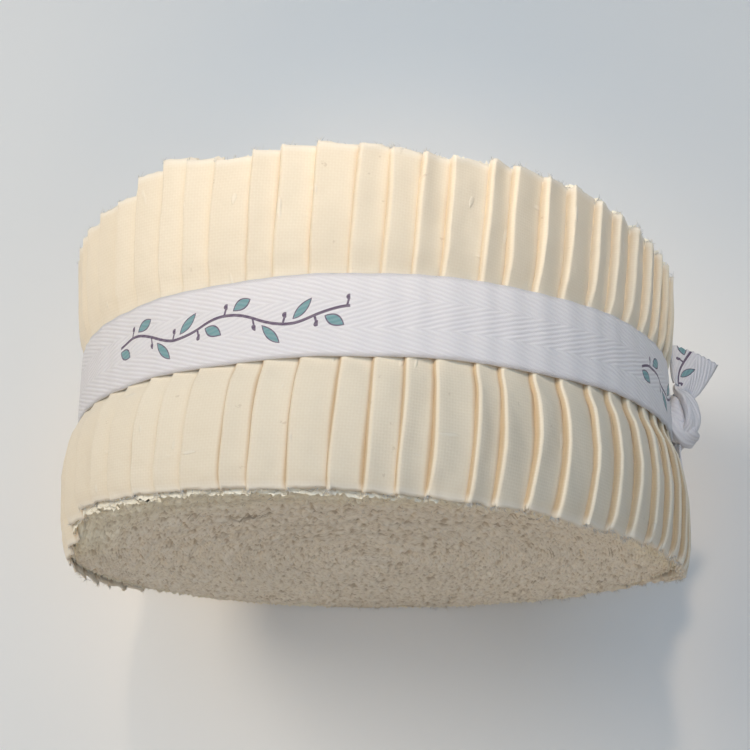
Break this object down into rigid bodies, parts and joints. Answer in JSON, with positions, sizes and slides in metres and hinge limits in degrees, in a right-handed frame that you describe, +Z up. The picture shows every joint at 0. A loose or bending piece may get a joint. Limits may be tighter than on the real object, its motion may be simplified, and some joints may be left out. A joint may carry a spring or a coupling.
{
  "type": "roll of quilting fabric strips",
  "caption": "Drum of cream cotton strips, folded, overlapped and wound together, tied round the middle with a white herringbone tape knotted at one side.",
  "frame": {"origin": "middle of the flat spot that the roll rests on, under the tape, on the surface", "axes": "+Y along the roll's axis, +Z up from the surface, +X towards the tape's knot"},
  "size_m": [0.1425, 0.0722, 0.1286],
  "materials": {
    "cotton": "cream unbleached plain-weave cotton with a pinked, lightly frayed edge",
    "tape": "white herringbone twill tape with small printed sprigs"
  },
  "bodies": {
    "root": {"strip_roll": "cotton", "tape_band": "tape", "tape_knot": "tape", "tape_tail_upper": "tape", "tape_tail_lower": "tape"}
  },
  "joints": []
}
